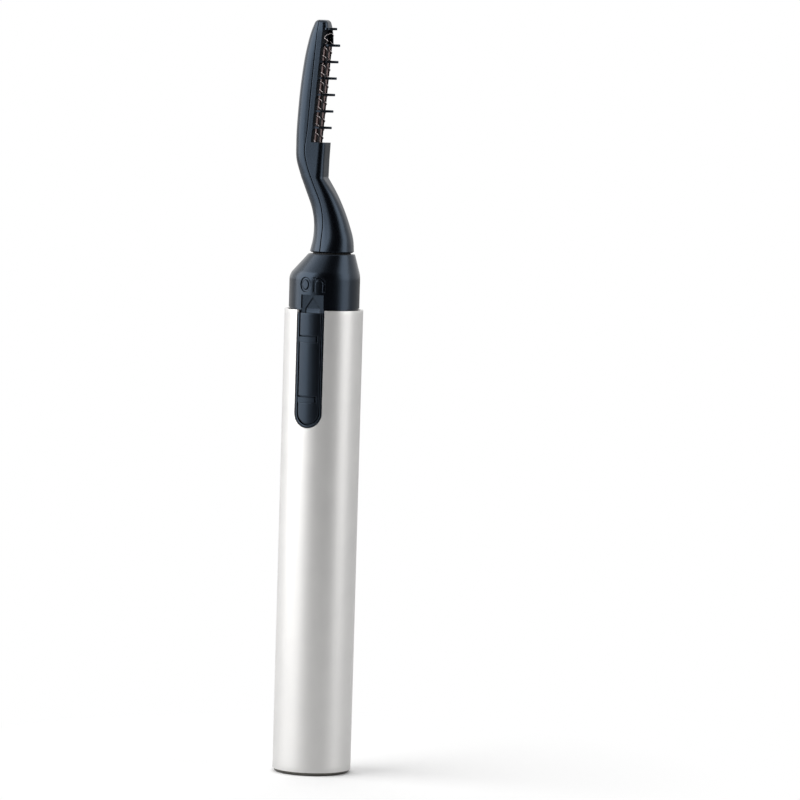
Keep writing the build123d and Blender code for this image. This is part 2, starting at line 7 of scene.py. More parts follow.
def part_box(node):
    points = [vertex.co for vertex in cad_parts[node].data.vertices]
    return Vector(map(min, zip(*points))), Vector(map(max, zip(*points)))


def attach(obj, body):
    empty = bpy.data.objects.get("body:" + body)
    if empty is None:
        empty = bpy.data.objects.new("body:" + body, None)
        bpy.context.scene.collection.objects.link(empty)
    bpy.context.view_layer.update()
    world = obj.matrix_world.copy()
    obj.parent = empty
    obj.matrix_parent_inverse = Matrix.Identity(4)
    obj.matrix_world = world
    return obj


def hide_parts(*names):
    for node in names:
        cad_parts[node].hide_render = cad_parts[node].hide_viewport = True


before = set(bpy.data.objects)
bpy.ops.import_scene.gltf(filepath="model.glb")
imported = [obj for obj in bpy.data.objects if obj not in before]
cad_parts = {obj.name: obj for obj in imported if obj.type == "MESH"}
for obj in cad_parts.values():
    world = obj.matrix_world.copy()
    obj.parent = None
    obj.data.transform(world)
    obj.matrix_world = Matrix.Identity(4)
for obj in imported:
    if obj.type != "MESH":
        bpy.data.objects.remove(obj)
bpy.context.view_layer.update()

# ================= Studio =================
# A white tent with a strong soft light on the left, a weaker one on the right and a dark flag
# between them at the camera's side, which draws the dark band down every glossy upright face.
scene = bpy.context.scene
scene.view_settings.view_transform = "Standard"
MM = 0.001
view_azimuth = np.radians(20.0)
view_distance = 0.909
view_height = 0.1367
view_roll = np.radians(1.65)
view_width = 0.1529
aim_height = 0.0719
aim_aside = 0.0150


def from_view(turn, distance, height):
    """Point at a distance and height, turned to the right of the camera by an angle in degrees.

    Its x is the distance times the sine of the azimuth, its y minus the distance times the cosine.
    """
    azimuth = view_azimuth + np.radians(turn)
    return Vector((distance * np.sin(azimuth), -distance * np.cos(azimuth), height))


def facing(point, target):
    """Turn that points an object's -Z axis from a point at a target, with its +Y axis up."""
    return (target - point).to_track_quat("-Z", "Y").to_matrix().to_4x4()


aim = Vector((aim_aside * np.cos(view_azimuth), aim_aside * np.sin(view_azimuth), aim_height))
eye = from_view(0, view_distance, view_height) + Vector((aim.x, aim.y, 0))
camera = bpy.data.objects.new("camera", bpy.data.cameras.new("camera"))
camera.data.sensor_width = 36
camera.data.lens = camera.data.sensor_width * (aim - eye).length / view_width
camera.data.clip_end = 20
camera.matrix_world = Matrix.Translation(eye) @ facing(eye, aim) @ Matrix.Rotation(view_roll, 4, "Z")
scene.collection.objects.link(camera)
scene.camera = camera


def add_node(tree, kind, inputs=None, **settings):
    """Adds one shader node, sets its properties and sets or links its named inputs."""
    made = tree.nodes.new("ShaderNode" + kind)
    for key, value in settings.items():
        setattr(made, key, value)
    for key, value in (inputs or {}).items():
        if isinstance(value, bpy.types.NodeSocket):
            tree.links.new(value, made.inputs[key])
        else:
            made.inputs[key].default_value = value
    return made


def srgb(code):
    """Linear colour of an sRGB hex code: each channel through the sRGB curve."""
    channels = np.array([int(code[i : i + 2], 16) for i in (0, 2, 4)]) / 255
    linear = np.where(channels <= 0.04045, channels / 12.92, ((channels + 0.055) / 1.055) ** 2.4)
    return (*linear.tolist(), 1.0)


# the tent is plain white to the camera and in reflections, and lights the pen more weakly
tent_fill = 0.42
world = bpy.data.worlds.new("white_tent")
world.use_nodes = True
scene.world = world
tree = world.node_tree
tree.nodes.clear()
rays = add_node(tree, "LightPath").outputs
seen = add_node(tree, "Math", {0: rays["Is Camera Ray"], 1: rays["Is Glossy Ray"]}, operation="MAXIMUM")
seen = add_node(tree, "Math", {0: seen.outputs[0], 1: rays["Is Transmission Ray"]}, operation="MAXIMUM")
level = add_node(tree, "MapRange", {"Value": seen.outputs[0], "To Min": tent_fill, "To Max": 1.0})
tent = add_node(tree, "Background", {"Color": srgb("ffffff"), "Strength": level.outputs[0]})
add_node(tree, "OutputWorld", {"Surface": tent.outputs[0]})


def soft_light(name, turn, distance, height, width, tall, watts):
    """Rectangular lamp turned from the camera's side, aimed at the middle of the pen."""
    lamp = bpy.data.lights.new(name, "AREA")
    lamp.shape = "RECTANGLE"
    lamp.size = width
    lamp.size_y = tall
    lamp.energy = watts
    placed = bpy.data.objects.new(name, lamp)
    place = from_view(turn, distance, height)
    placed.matrix_world = Matrix.Translation(place) @ facing(place, Vector((0, 0, aim_height)))
    scene.collection.objects.link(placed)


soft_light("left_window", turn=-75, distance=0.70, height=0.30, width=0.94, tall=0.90, watts=8.1)
soft_light("back_left_window", turn=-135, distance=0.80, height=0.30, width=0.70, tall=0.90, watts=0.7)
soft_light("right_window", turn=72, distance=0.80, height=0.25, width=0.44, tall=0.90, watts=2.7)
soft_light("top_window", turn=180, distance=0.55, height=0.75, width=0.60, tall=0.60, watts=1.5)


def stage_plane(name, corners, material):
    """Flat quad through four corners."""
    mesh = bpy.data.meshes.new(name)
    mesh.from_pydata(corners, [], [(0, 1, 2, 3)])
    mesh.materials.append(material)
    placed = bpy.data.objects.new(name, mesh)
    scene.collection.objects.link(placed)
    return placed


def new_material(name):
    """Empty node material: returns it and its tree."""
    material = bpy.data.materials.new(name)
    material.use_nodes = True
    material.node_tree.nodes.clear()
    return material, material.node_tree


# pale matte floor; for the camera it fades to the tent's white outside the pen's soft shadow
shadow_reach, white_reach = 0.012, 0.08
floor_paint, tree = new_material("matte_white_paper")
rays = add_node(tree, "LightPath").outputs
paper = add_node(tree, "BsdfDiffuse", {"Color": srgb("d4d4d4")})
sheet = add_node(tree, "BsdfDiffuse", {"Color": srgb("ffffff")})
white = add_node(tree, "Emission", {"Color": srgb("ffffff"), "Strength": 1.0})
place = add_node(tree, "TexCoord").outputs["Object"]
far = add_node(tree, "VectorMath", {0: place}, operation="LENGTH").outputs["Value"]
fade = add_node(tree, "MapRange", {"Value": far, "From Min": shadow_reach, "From Max": white_reach})
seen = add_node(tree, "MixShader", {0: fade.outputs[0], 1: sheet.outputs[0], 2: white.outputs[0]})
both = add_node(tree, "MixShader", {0: rays["Is Camera Ray"], 1: paper.outputs[0], 2: seen.outputs[0]})
add_node(tree, "OutputMaterial", {"Surface": both.outputs[0]})
floor_half = 6.0
floor_corners = [(x * floor_half, y * floor_half, 0) for x, y in ((-1, -1), (1, -1), (1, 1), (-1, 1))]
stage_plane("floor", floor_corners, floor_paint)

# black flag at the camera's side: only glossy reflections see it
flag_paint, tree = new_material("black_flag_cloth")
cloth = add_node(tree, "BsdfDiffuse", {"Color": srgb("050506")})
add_node(tree, "OutputMaterial", {"Surface": cloth.outputs[0]})
flag_left, flag_right = -25, 47
flag_distance = 0.45
flag_low, flag_high = 0.001, 0.6
flag_ends = [(flag_left, flag_low), (flag_right, flag_low), (flag_right, flag_high), (flag_left, flag_high)]
flag_corners = [from_view(turn, flag_distance, height) for turn, height in flag_ends]
flag = stage_plane("flag", flag_corners, flag_paint)
flag.visible_camera = False
flag.visible_diffuse = False
flag.visible_shadow = False

# ================= Barrel =================
# Drawn aluminium tube with a satin pearl lacquer, cut by a round-ended slot that runs down from
# its open rim; its cut edges are eased.  A turned and polished aluminium plug is glued into its
# lower end.
sharp_angle = np.radians(38)


def smooth_object(name, work):
    """Object from a working mesh: smooth, but for the edges that turn by more than sharp_angle."""
    mesh = bpy.data.meshes.new(name)
    work.to_mesh(mesh)
    work.free()
    mesh.shade_smooth()
    mesh.set_sharp_from_angle(angle=sharp_angle)
    placed = bpy.data.objects.new(name, mesh)
    scene.collection.objects.link(placed)
    return placed


def build(name, grids):
    """Mesh object of several grids of points in mm: each is (points, closed).

    Quads join every point of a row to its neighbours in the next row.  A closed grid is a tube:
    its rows close on themselves and a fan from each end row's middle closes its ends.  An open
    grid stays a sheet.  Doubled points are merged, and closed meshes are turned to face outwards.
    """
    corners, faces, start = [], [], 0
    for points, closed in grids:
        rows, columns = points.shape[:2]
        index = start + np.arange(rows * columns).reshape(rows, columns)
        beside = np.roll(index, -1, axis=1) if closed else index[:, 1:]
        here = index if closed else index[:, :-1]
        quads = np.stack([here[:-1], beside[:-1], beside[1:], here[1:]], axis=-1).reshape(-1, 4)
        faces += quads.tolist()
        corners.append(points.reshape(-1, 3))
        start += rows * columns
        if closed:
            corners.append(points[[0, -1]].mean(axis=1))
            faces += np.stack([beside[0], here[0], np.full(columns, start)], axis=-1).tolist()
            faces += np.stack([here[-1], beside[-1], np.full(columns, start + 1)], axis=-1).tolist()
            start += 2
    raw = bpy.data.meshes.new("raw")
    raw.from_pydata((np.concatenate(corners) * MM).tolist(), [], faces)
    work = bmesh.new()
    work.from_mesh(raw)
    bpy.data.meshes.remove(raw)
    doubled, vanishing = 1e-8, 1e-9
    bmesh.ops.remove_doubles(work, verts=work.verts, dist=doubled)
    bmesh.ops.dissolve_degenerate(work, edges=work.edges, dist=vanishing)
    if all(closed for _, closed in grids):
        bmesh.ops.recalc_face_normals(work, faces=work.faces)
    return smooth_object(name, work)


def dress(piece, material, slot, body, *nodes):
    """Gives a piece its material, rides it on its body and hides the nodes it stands for; its slot is not
    used.
    """
    piece.data.materials.append(material)
    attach(piece, body)
    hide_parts(*nodes)


def around(radius, angle, height):
    """Points on circles about the pen's axis: x and y are the radius times the angle's cosine and
    sine, with radius, angle and height spread over one grid."""
    radius, angle, height = np.broadcast_arrays(radius, angle, height)
    return np.stack([radius * np.cos(angle), radius * np.sin(angle), height], axis=-1)


def arc_angles(count, low=0.0, high=90.0):
    """Evenly spaced angles from low to high, given in degrees and returned in radians."""
    return np.radians(np.linspace(low, high, count))


def ease_edges(piece, width, segments):
    """Rounds a piece's sharp edges with a live bevel of a width in mm."""
    ease = piece.modifiers.new("eased_edges", "BEVEL")
    ease.width = width * MM
    ease.segments = segments
    ease.limit_method = "ANGLE"
    ease.angle_limit = sharp_angle


tube_low, tube_high = (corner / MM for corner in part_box("barrel_tube"))
tube_radius = tube_high.x
tube_wall = 0.55
tube_edge = 0.14
slot_half = 2.81
slot_depth = 22.4
slot_centre = tube_high.z - slot_depth + slot_half
# rows lie below, round and above the slot's foot; each runs from one side of the slot round the
# back to its other side, or all the way round below the slot
rows_below = np.linspace(tube_low.z, slot_centre - slot_half, 60)[:-1]
turn = arc_angles(28)
rows_round = slot_centre - slot_half * np.cos(turn)
rows_above = np.linspace(slot_centre, tube_high.z, 24)[1:]
height = np.concatenate([rows_below, rows_round, rows_above])[:, None]
half_chord = np.concatenate([0 * rows_below, slot_half * np.sin(turn), slot_half + 0 * rows_above])
opening = np.arcsin(half_chord / tube_radius)[:, None]
share = np.linspace(0, 1, 181)[None, :]
angle = -np.pi / 2 + opening + share * 2 * (np.pi - opening)
tube = build("barrel_lacquered", [(around(tube_radius, angle, height), False)])
wall = tube.modifiers.new("wall", "SOLIDIFY")
wall.thickness = tube_wall * MM
wall.offset = -1
ease_edges(tube, tube_edge, 4)


def coating(
    name, colour, mottle, roughness, spread, grain, relief, metallic=0.0, stretch=(1, 1, 1), extra=None
):
    """Material with fine grain: colour and roughness follow a slow noise, and relief a fast one.

    The colour goes from mottle to colour and the roughness by spread to either side, over spots 40
    grains wide.  Grain is the width of the relief in mm and relief its depth in mm, stretch scales
    the relief along each axis, and extra sets more of the shader's sockets by name.
    """
    material, tree = new_material(name)
    spot = 40 * grain
    place = add_node(tree, "TexCoord").outputs["Object"]
    slow = add_node(tree, "TexNoise", {"Vector": place, "Scale": 1 / (spot * MM), "Detail": 3.0})
    tone = add_node(tree, "Mix", {0: slow.outputs["Fac"], 6: srgb(mottle), 7: srgb(colour)}, data_type="RGBA")
    finest, roughest = roughness - spread, roughness + spread
    finish = add_node(tree, "MapRange", {"Value": slow.outputs["Fac"], "To Min": finest, "To Max": roughest})
    pattern = add_node(tree, "Mapping", {"Vector": place, "Scale": stretch}).outputs[0]
    fast = add_node(tree, "TexNoise", {"Vector": pattern, "Scale": 1 / (grain * MM), "Detail": 2.0})
    bump = add_node(tree, "Bump", {"Height": fast.outputs["Fac"], "Distance": relief * MM, "Strength": 1.0})
    sockets = {
        "Base Color": tone.outputs[2],
        "Roughness": finish.outputs[0],
        "Metallic": metallic,
        "Normal": bump.outputs[0],
        **(extra or {}),
    }
    shader = add_node(tree, "BsdfPrincipled", sockets)
    add_node(tree, "OutputMaterial", {"Surface": shader.outputs[0]})
    return material


# silver pearl lacquer: metal flake under a satin clear coat gives a soft, wide sheen
lacquer = coating(
    "silver_pearl_lacquer",
    "dad9d7",
    "d1d0cf",
    roughness=0.4,
    spread=0.03,
    grain=0.12,
    relief=0.0006,
    metallic=0.55,
    extra={"Coat Weight": 0.25, "Coat Roughness": 0.22},
)
dress(tube, lacquer, "silver_lacquer", "barrel", "barrel_tube")

cap_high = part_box("barrel_end_cap")[1] / MM
cap_radius = cap_high.x
cap_edge = 0.45
plug_radius = 6.92
inner_share = 0.4             # of the radius: the innermost ring of each end, closed by a fan
turn = arc_angles(8)
cap_profile = np.array(
    [
        (inner_share * cap_radius, 0),
        (cap_radius - cap_edge, 0),
        *np.stack([cap_radius - cap_edge * (1 - np.sin(turn)), cap_edge * (1 - np.cos(turn))], axis=-1)[1:],
        (cap_radius, tube_low.z),
        (plug_radius, tube_low.z),
        (plug_radius, cap_high.z),
        (inner_share * plug_radius, cap_high.z),
    ]
)
circle = np.linspace(-np.pi, np.pi, 129)[None, :-1]
end_cap = build("barrel_end_plug", [(around(cap_profile[:, :1], circle, cap_profile[:, 1:]), True)])
# turned and polished aluminium with fine lines round the rim; its grey is darker than bare aluminium: painted
# shade for the dark foot of the pen
polished = coating(
    "turned_aluminium",
    "706e69",
    "62605c",
    roughness=0.2,
    spread=0.05,
    grain=0.1,
    relief=0.002,
    metallic=1.0,
    stretch=(0.05, 0.05, 1),
)
dress(end_cap, polished, "turned_aluminium", "barrel", "barrel_end_cap")

# ================= Collar =================
# Black ABS moulding pressed on the chassis's spigot, above the barrel's rim: a plain band, a
# shoulder that leans over to the off-axis neck, a recess with a sunk triangle that the slider runs
# into, and two sunk letters.
collar_low, collar_high = (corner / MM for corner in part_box("collar"))
collar_radius = collar_high.x
lip_radius = collar_radius - 0.25
seat_bottom = tube_high.z + 0.3
seat_step = 0.01
shoulder_foot = tube_high.z + 5.65
shoulder_round = 2.4
neck_x = 1.3
neck_radius = 4.42
top_edge = 0.12
bed_depth = 6.0
recess_half = 2.26
recess_top = collar_low.z + 3.4
recess_wall = 0.03


def shoulder_blend(height):
    """Share of the way from the band to the neck: an arc of the shoulder's radius through 45
    degrees, then a straight line to 1 at the top."""
    reach = neck_x + collar_radius - neck_radius
    rise = np.clip(height - shoulder_foot, 0, None)
    arc_rise = shoulder_round * np.sin(np.pi / 4)
    arc = (shoulder_round - np.sqrt(shoulder_round**2 - np.clip(rise, 0, arc_rise) ** 2)) / reach
    arc_end = shoulder_round * (1 - np.cos(np.pi / 4)) / reach
    straight = (rise - arc_rise) / (collar_high.z - shoulder_foot - arc_rise)
    return np.where(rise < arc_rise, arc, arc_end + (1 - arc_end) * straight)


def ramp(distance, width):
    """1 inside an outline and 0 outside it, on a straight line between them over a width."""
    return np.clip(0.5 - distance / width, 0, 1)


letter_foot = tube_high.z + 3.45
letter_tall = 2.75
letter_stroke = 0.46
letter_depth = 0.26
letter_wall = 0.14
o_middle, o_half = -1.42, 1.1
n_left, n_wide = 0.25, 2.3


def letters(across, height):
    """Depth of the sunk letters: an upright ring, and a stem with an arch and a second stem.

    The depth is a ramp of the distance to the nearest stroke's outline.  For the ring, which is an
    ellipse, that distance is the ellipse's scaled radius less 1, over its slope.
    """
    rise = height - letter_foot
    half_stroke = letter_stroke / 2
    ring_x = o_half - half_stroke
    ring_z = letter_tall / 2 - half_stroke
    x = across - o_middle
    z = rise - letter_tall / 2
    least = 1e-6
    scaled = np.hypot(x / ring_x, z / ring_z)
    slope = np.hypot(x / ring_x**2, z / ring_z**2) / np.maximum(scaled, least)
    ring = np.abs(scaled - 1) / np.maximum(slope, least) - half_stroke
    x = across - n_left
    arch_radius = n_wide / 2 - half_stroke
    arch_foot = letter_tall - n_wide / 2
    arch = np.abs(np.hypot(x - n_wide / 2, rise - arch_foot) - arch_radius) - half_stroke
    arch = np.maximum(arch, arch_foot - rise)
    stems = []
    for middle, top in ((half_stroke, letter_tall), (n_wide - half_stroke, arch_foot)):
        stems.append(np.maximum(np.abs(x - middle) - half_stroke, np.maximum(-rise, rise - top)))
    return letter_depth * ramp(np.min([ring, arch, *stems], axis=0), letter_wall)


arrow_foot = collar_low.z + 0.4
arrow_half = 1.65
arrow_tall = 2.5
arrow_depth = 0.2
arrow_wall = 0.1


def arrow(across, height):
    """Depth of the sunk triangle, point upwards: a ramp of the distance to its nearest side."""
    lean = np.hypot(arrow_half, arrow_tall)
    sides = (np.abs(across) * arrow_tall + (height - arrow_foot - arrow_tall) * arrow_half) / lean
    return arrow_depth * ramp(np.maximum(sides, arrow_foot - height), arrow_wall)


# the grid is fine over the marks and the recess, and has a row or column at each side of a wall
fine_step = 0.05
fine_half = 3.3
fine_top = shoulder_foot + 1.0
pair = np.array([-recess_wall / 2, recess_wall / 2])
fine = np.arange(-fine_half, fine_half + fine_step / 2, fine_step)
across = np.arcsin(np.sort(np.concatenate([fine, pair - recess_half, pair + recess_half])) / collar_radius)
rest = np.linspace(across[-1], across[0] + 2 * np.pi, 120)[1:-1]
angle = np.concatenate([across, rest])[None, :] - np.pi / 2
fine = np.arange(seat_bottom + fine_step, fine_top, fine_step)
edges = np.array([collar_low.z, seat_bottom - seat_step, seat_bottom, *(recess_top + pair)])
rise = np.linspace(fine_top, collar_high.z - top_edge, 24)
turn = arc_angles(6)[1:]
crown = collar_high.z - top_edge * (1 - np.sin(turn))
height = np.concatenate([np.sort(np.concatenate([fine, edges])), rise, crown])[:, None]
drop = np.concatenate([np.zeros(len(height) - len(turn)), top_edge * (1 - np.cos(turn))])[:, None]
blend = shoulder_blend(height)
radius = collar_radius + (neck_radius - collar_radius) * blend - drop
lip_top = seat_bottom - seat_step / 2
radius = np.where(height < lip_top, lip_radius, radius)
surface = around(radius, angle, height)
surface[..., 0] += neck_x * blend
x, y, z = np.moveaxis(surface, -1, 0)
front = y < 0
# the waisted lip under the band keeps the recess as wide as the band has it
lip = front & (z < lip_top) & (np.abs(x) < fine_half)
x = np.where(lip, x * collar_radius / lip_radius, x)
y = np.where(lip, -np.sqrt(lip_radius**2 - np.clip(x, -fine_half, fine_half) ** 2), y)
in_recess = front & (np.abs(x) < recess_half) & (z < recess_top)
unrolled = collar_radius * np.arcsin(np.clip(x / collar_radius, -1, 1))
y = np.where(front, y + letters(unrolled, z), y)
surface[..., 0] = x
surface[..., 1] = np.where(in_recess, arrow(x, z) - bed_depth, y)
collar = build("collar_moulding", [(surface, True)])


def black_moulding(name, roughness, grain, relief):
    """Near-black plastic with a fine spark-eroded grain, whose sheen carries a cool tint."""
    sheen = {"IOR": 1.55, "Specular Tint": srgb("bcd6f4")}
    return coating(name, "040406", "020203", roughness, 0.03, grain, relief, extra=sheen)


# satin black ABS: a soft slate-blue sheen over a body that looks black
moulded = black_moulding("satin_black_abs", roughness=0.26, grain=0.1, relief=0.0012)
dress(collar, moulded, "black_moulding", "head_unit", "collar")

# ================= Switch =================
# A U-shaped black ABS frame glued on the chassis, where it fills the barrel's slot, and the thumb
# slider that runs in it: one moulding with two notches across it, open at the left and ended at
# the right by a small square pocket.
frame_low, frame_high = (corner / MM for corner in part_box("switch_frame"))
frame_half = frame_high.x
frame_centre = frame_low.z + frame_half
frame_radius = 7.3
channel_half = 2.27
frame_edge = 0.12
# outline of the U: up the left side, round the foot and up the right side
turn = arc_angles(40, -90, 90)
leg = frame_high.z - frame_centre
outline_x = np.concatenate([[-1], np.sin(turn), [1]])
outline_z = np.concatenate([[0], -np.cos(turn), [0]])
outline_rise = np.concatenate([[leg], np.zeros(len(turn)), [leg]])
# section: flat face between two rounded edges, and walls that go down to the bed
arc = arc_angles(6)
in_from_side = frame_edge * (1 - np.cos(arc))
down_from_face = frame_edge * (1 - np.sin(arc))
past_bed = 9
width = frame_half - channel_half
inset = np.concatenate([[0], in_from_side, width - in_from_side[::-1], [width]])
sunk = np.concatenate([[past_bed], down_from_face, down_from_face[::-1], [past_bed]])
reach = (frame_half - inset)[None, :]
x = outline_x[:, None] * reach
z = frame_centre + outline_z[:, None] * reach + outline_rise[:, None]
y = np.minimum(sunk[None, :] - np.sqrt(frame_radius**2 - x**2), -bed_depth)
switch_surround = build("switch_surround", [(np.stack([x, y, z], axis=-1), True)])
dress(switch_surround, moulded, "black_moulding", "head_unit", "switch_frame")

slider_low, slider_high = (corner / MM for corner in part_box("switch_slider"))
# half widths of the slider with its low rim and of its raised face, and how far the rim lies down
slider_half, plate_half, rim_drop = 2.22, 2.1, 0.42
crown_radius, crown_front = 5.2, 7.45
slider_bed = -bed_depth - 0.05
least_thickness = 0.01
slider_edge = 0.14
notch_tall, notch_radius, notch_end = 1.3, 7.2, 1.62
notch_wall, notch_edge = 0.05, 0.1
groove_tall, groove_depth = 0.2, 0.4
pocket_left, pocket_depth = 1.25, 0.35
notch_middles = tube_high.z - slot_depth + np.array([16.95, 5.45])
slider_centre = slider_low.z + slider_half
# the grid is fine near each notch's walls
fine_reach = 0.3
near_walls = np.linspace(-fine_reach, fine_reach, 21)
foot_rows = slider_low.z + slider_half * (1 - np.cos(arc_angles(30)))
plain_rows = np.linspace(slider_centre, slider_high.z - slider_edge, 70)[1:]
top_rows = slider_high.z - slider_edge * (1 - np.sin(arc_angles(7)[1:]))
wall_rows = [middle + s * notch_tall / 2 + near_walls for middle in notch_middles for s in (-1, 1)]
rows = np.sort(np.concatenate([foot_rows, plain_rows, top_rows, *wall_rows]))[:, None]
plain_columns = np.sin(np.linspace(-np.pi / 2, np.pi / 2, 81))
wall_columns = [(end + near_walls) / slider_half for end in (pocket_left, notch_end, -plate_half)]
columns = np.clip(np.sort(np.concatenate([plain_columns, *wall_columns])), -1, 1)[None, :]
half = np.sqrt(slider_half**2 - np.clip(slider_centre - rows, 0, slider_half) ** 2)
x = half * columns
z = rows + 0 * x


def rounded(distance, radius):
    """Drop of a rounded edge at a distance inside it: radius minus the circle's height there."""
    inside = np.clip(distance, 0, radius)
    return radius - np.sqrt(np.clip(radius**2 - (radius - inside) ** 2, 0, None))


foot_plate = plate_half - np.hypot(x, z - slider_centre)
inside = np.where(z < slider_centre, foot_plate, plate_half - np.abs(x))
inside = np.minimum(inside, slider_high.z - z)
crown = crown_front - crown_radius + np.sqrt(crown_radius**2 - x**2)
notch_floor = crown - np.sqrt(notch_radius**2 - x**2)
drop = np.maximum(rounded(inside, slider_edge), rim_drop * ramp(inside, notch_wall))
# gap, groove and pocket are distances to the outlines of a notch, of the deeper groove along its
# top wall and of its end pocket, less than 0 inside them
for middle in notch_middles:
    gap = np.maximum(np.abs(z - middle) - notch_tall / 2, x - notch_end)
    groove_middle = middle + (notch_tall - groove_tall) / 2
    groove = np.maximum(np.abs(z - groove_middle) - groove_tall / 2, x - notch_end)
    pocket = np.maximum(gap + notch_edge, pocket_left - x)
    drop = np.maximum(drop, np.where(gap > 0, rounded(gap, notch_edge), 0))
    drop = drop + (notch_floor - drop) * ramp(gap, notch_wall)
    drop = drop + groove_depth * ramp(groove, notch_wall) + pocket_depth * ramp(pocket, notch_wall)
face_y = np.minimum(drop - crown, slider_bed)
back_y = np.full_like(face_y, slider_bed + least_thickness)
top = np.stack([x, face_y, z], axis=-1)
under = np.stack([x, back_y, z], axis=-1)[:, ::-1]
thumb = build("thumb_slider", [(np.concatenate([top, under], axis=1), True)])
# black ABS with a deeper spark-eroded grain for grip, so its sheen is a little duller
thumb_plastic = black_moulding("fine_grained_black_abs", roughness=0.31, grain=0.09, relief=0.002)
dress(thumb, thumb_plastic, "slider_moulding", "switch", "switch_slider")

# ================= Head =================
# Two shells moulded in black heat-resistant nylon and closed on each other along a sweeping
# parting line: the back shell is the rounded spine, and the front shell is the neck, the block and
# the comb with its teeth and webs.
head_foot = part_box("head_back_shell")[0].z / MM
block_top = head_foot + 20.85
tooth_count = 7
tooth_pitch = 3.13
web = 0.37
tooth_top = block_top + 2.82 + (tooth_count - 1) * tooth_pitch
closure = tooth_top - web / 2
comb_run = closure - block_top
head_top = closure + 1.885
closure_front = -0.2
foot_round = 0.25
foot_inset = 0.35
base_half = 4.18
crease = head_foot + 14.15
# height, back, front, half width, front corner radius
crease_row = (crease, -5.20, -0.33, 2.46, 1.30)
neck_rows = np.array(
    [
        (head_foot + foot_round, neck_x - base_half, neck_x + base_half, base_half, base_half - 0.08),
        (head_foot + 2.75, -2.38, 5.20, 3.60, 3.30),
        (head_foot + 5.25, -2.28, 4.45, 3.12, 2.80),
        (head_foot + 8.25, -2.80, 3.25, 2.80, 2.40),
        (head_foot + 11.25, -3.98, 1.65, 2.60, 1.90),
        crease_row,
    ]
)
comb_rows = np.array(
    [
        crease_row,
        (head_foot + 17.55, -6.28, -0.25, 2.34, 1.15),
        (block_top, -6.44, -0.10, 2.30, 1.10),
        (block_top + 0.30 * comb_run, -6.20, 0.00, 2.30, 1.10),
        (block_top + 0.58 * comb_run, -5.66, 0.05, 2.30, 1.10),
        (block_top + 0.84 * comb_run, -4.78, 0.02, 2.20, 1.10),
        (closure, -3.86, closure_front, 1.98, 1.00),
        (head_top, -3.10, -0.60, 1.50, 0.80),
    ]
)
# height, x
parting_line = np.array(
    [
        (head_foot - 1.75, 0.40),
        (head_foot + 2.25, 0.40),
        (head_foot + 5.95, 0.42),
        (head_foot + 9.35, -0.29),
        (head_foot + 12.75, -1.82),
        (head_foot + 16.15, -3.25),
        (head_foot + 19.15, -3.95),
        (block_top + 0.07 * comb_run, -3.60),
        (block_top + 0.41 * comb_run, -3.04),
        (block_top + 0.74 * comb_run, -2.50),
        (block_top + 1.14 * comb_run, -1.95),
    ]
)
parting_gap = 0.025
parting_edge = 0.12
top_round = 0.6


def through(table, height):
    """Smooth curve through a table's rows: cubic pieces whose slopes are those of the neighbours."""
    knots, values = table[:, 0], table[:, 1:]
    slopes = np.gradient(values, knots, axis=0)
    place = np.clip(np.searchsorted(knots, height) - 1, 0, len(knots) - 2)
    span = (knots[place + 1] - knots[place])[:, None]
    t = (height - knots[place])[:, None] / span
    return (
        (2 * t**3 - 3 * t**2 + 1) * values[place]
        + (t**3 - 2 * t**2 + t) * span * slopes[place]
        + (3 * t**2 - 2 * t**3) * values[place + 1]
        + (t**3 - t**2) * span * slopes[place + 1]
    )


def head_sizes(height):
    """Back, front, half width and corner of the head at each height, drawn in at foot and top.

    The inset is a power curve at the foot and a quarter circle at the top; the corner's radius
    shrinks by part of it.
    """
    sizes = np.where(height[:, None] < crease, through(neck_rows, height), through(comb_rows, height))
    foot = np.clip((head_foot + foot_round - height) / foot_round, 0, 1)
    crown = np.clip(height - head_top + top_round, 0, top_round)
    foot_power, corner_share = 1.6, 0.7
    inset = foot_inset * foot**foot_power + top_round - np.sqrt(top_round**2 - crown**2)
    return sizes + inset[:, None] * np.array([1, -1, -1, -corner_share])


def half_width(x, sizes):
    """Half the head's width at x: half circle at the back, straight sides, quarter circles in front."""
    back, front, half, corner = (sizes[:, [i]] for i in range(4))
    into_back = np.clip(back + half - x, 0, half)
    into_front = np.clip(x - front + corner, 0, corner)
    return np.sqrt(half**2 - into_back**2) + np.sqrt(corner**2 - into_front**2) - corner


foot_rows = head_foot + foot_round * np.sin(arc_angles(8))
neck_steps = np.linspace(foot_rows[-1], crease, 60)[1:]
top_rows = head_top - top_round * (1 - np.sin(arc_angles(12)))
comb_steps = np.linspace(crease, top_rows[0], 110)[1:-1]
spine_height = np.concatenate([foot_rows, neck_steps, comb_steps, top_rows])
sizes = head_sizes(spine_height)
# the back shell ends a gap short of the parting line, which leaves a fine dark seam
back = sizes[:, :1]
seam = through(parting_line, spine_height) - parting_gap
side = np.linspace(-1, 1, 65)[None, :]
x = back + (seam - back) * (1 - np.cos(np.pi / 2 * side))
y = np.sign(side) * (half_width(x, sizes) - rounded(seam - x, parting_edge))
z = spine_height[:, None] + 0 * x
spine = build("head_spine_shell", [(np.stack([x, y, z], axis=-1), True)])
# satin black nylon: the collar's sheen over a slightly deeper grain
nylon_roughness, nylon_grain, nylon_relief = 0.27, 0.1, 0.0014
head_plastic = black_moulding("satin_black_heat_resistant_nylon", nylon_roughness, nylon_grain, nylon_relief)
dress(spine, head_plastic, "head_moulding", "head_unit", "head_back_shell")

# the comb: its floor and the coils lean by comb_lean towards the teeth, from their x at the block
comb_lean = 0.08
floor_at_block = -2.66
coil_at_block = -2.12
window_corner = 0.5
window_edge = 0.12


def comb_floor(height):
    """Place of the windows' floor along x: a line that leans towards the teeth."""
    return floor_at_block + comb_lean * (height - block_top)


def coil_axis(height):
    """Place of the heater coils along x: a line beside the floor's."""
    return coil_at_block + comb_lean * (height - block_top)


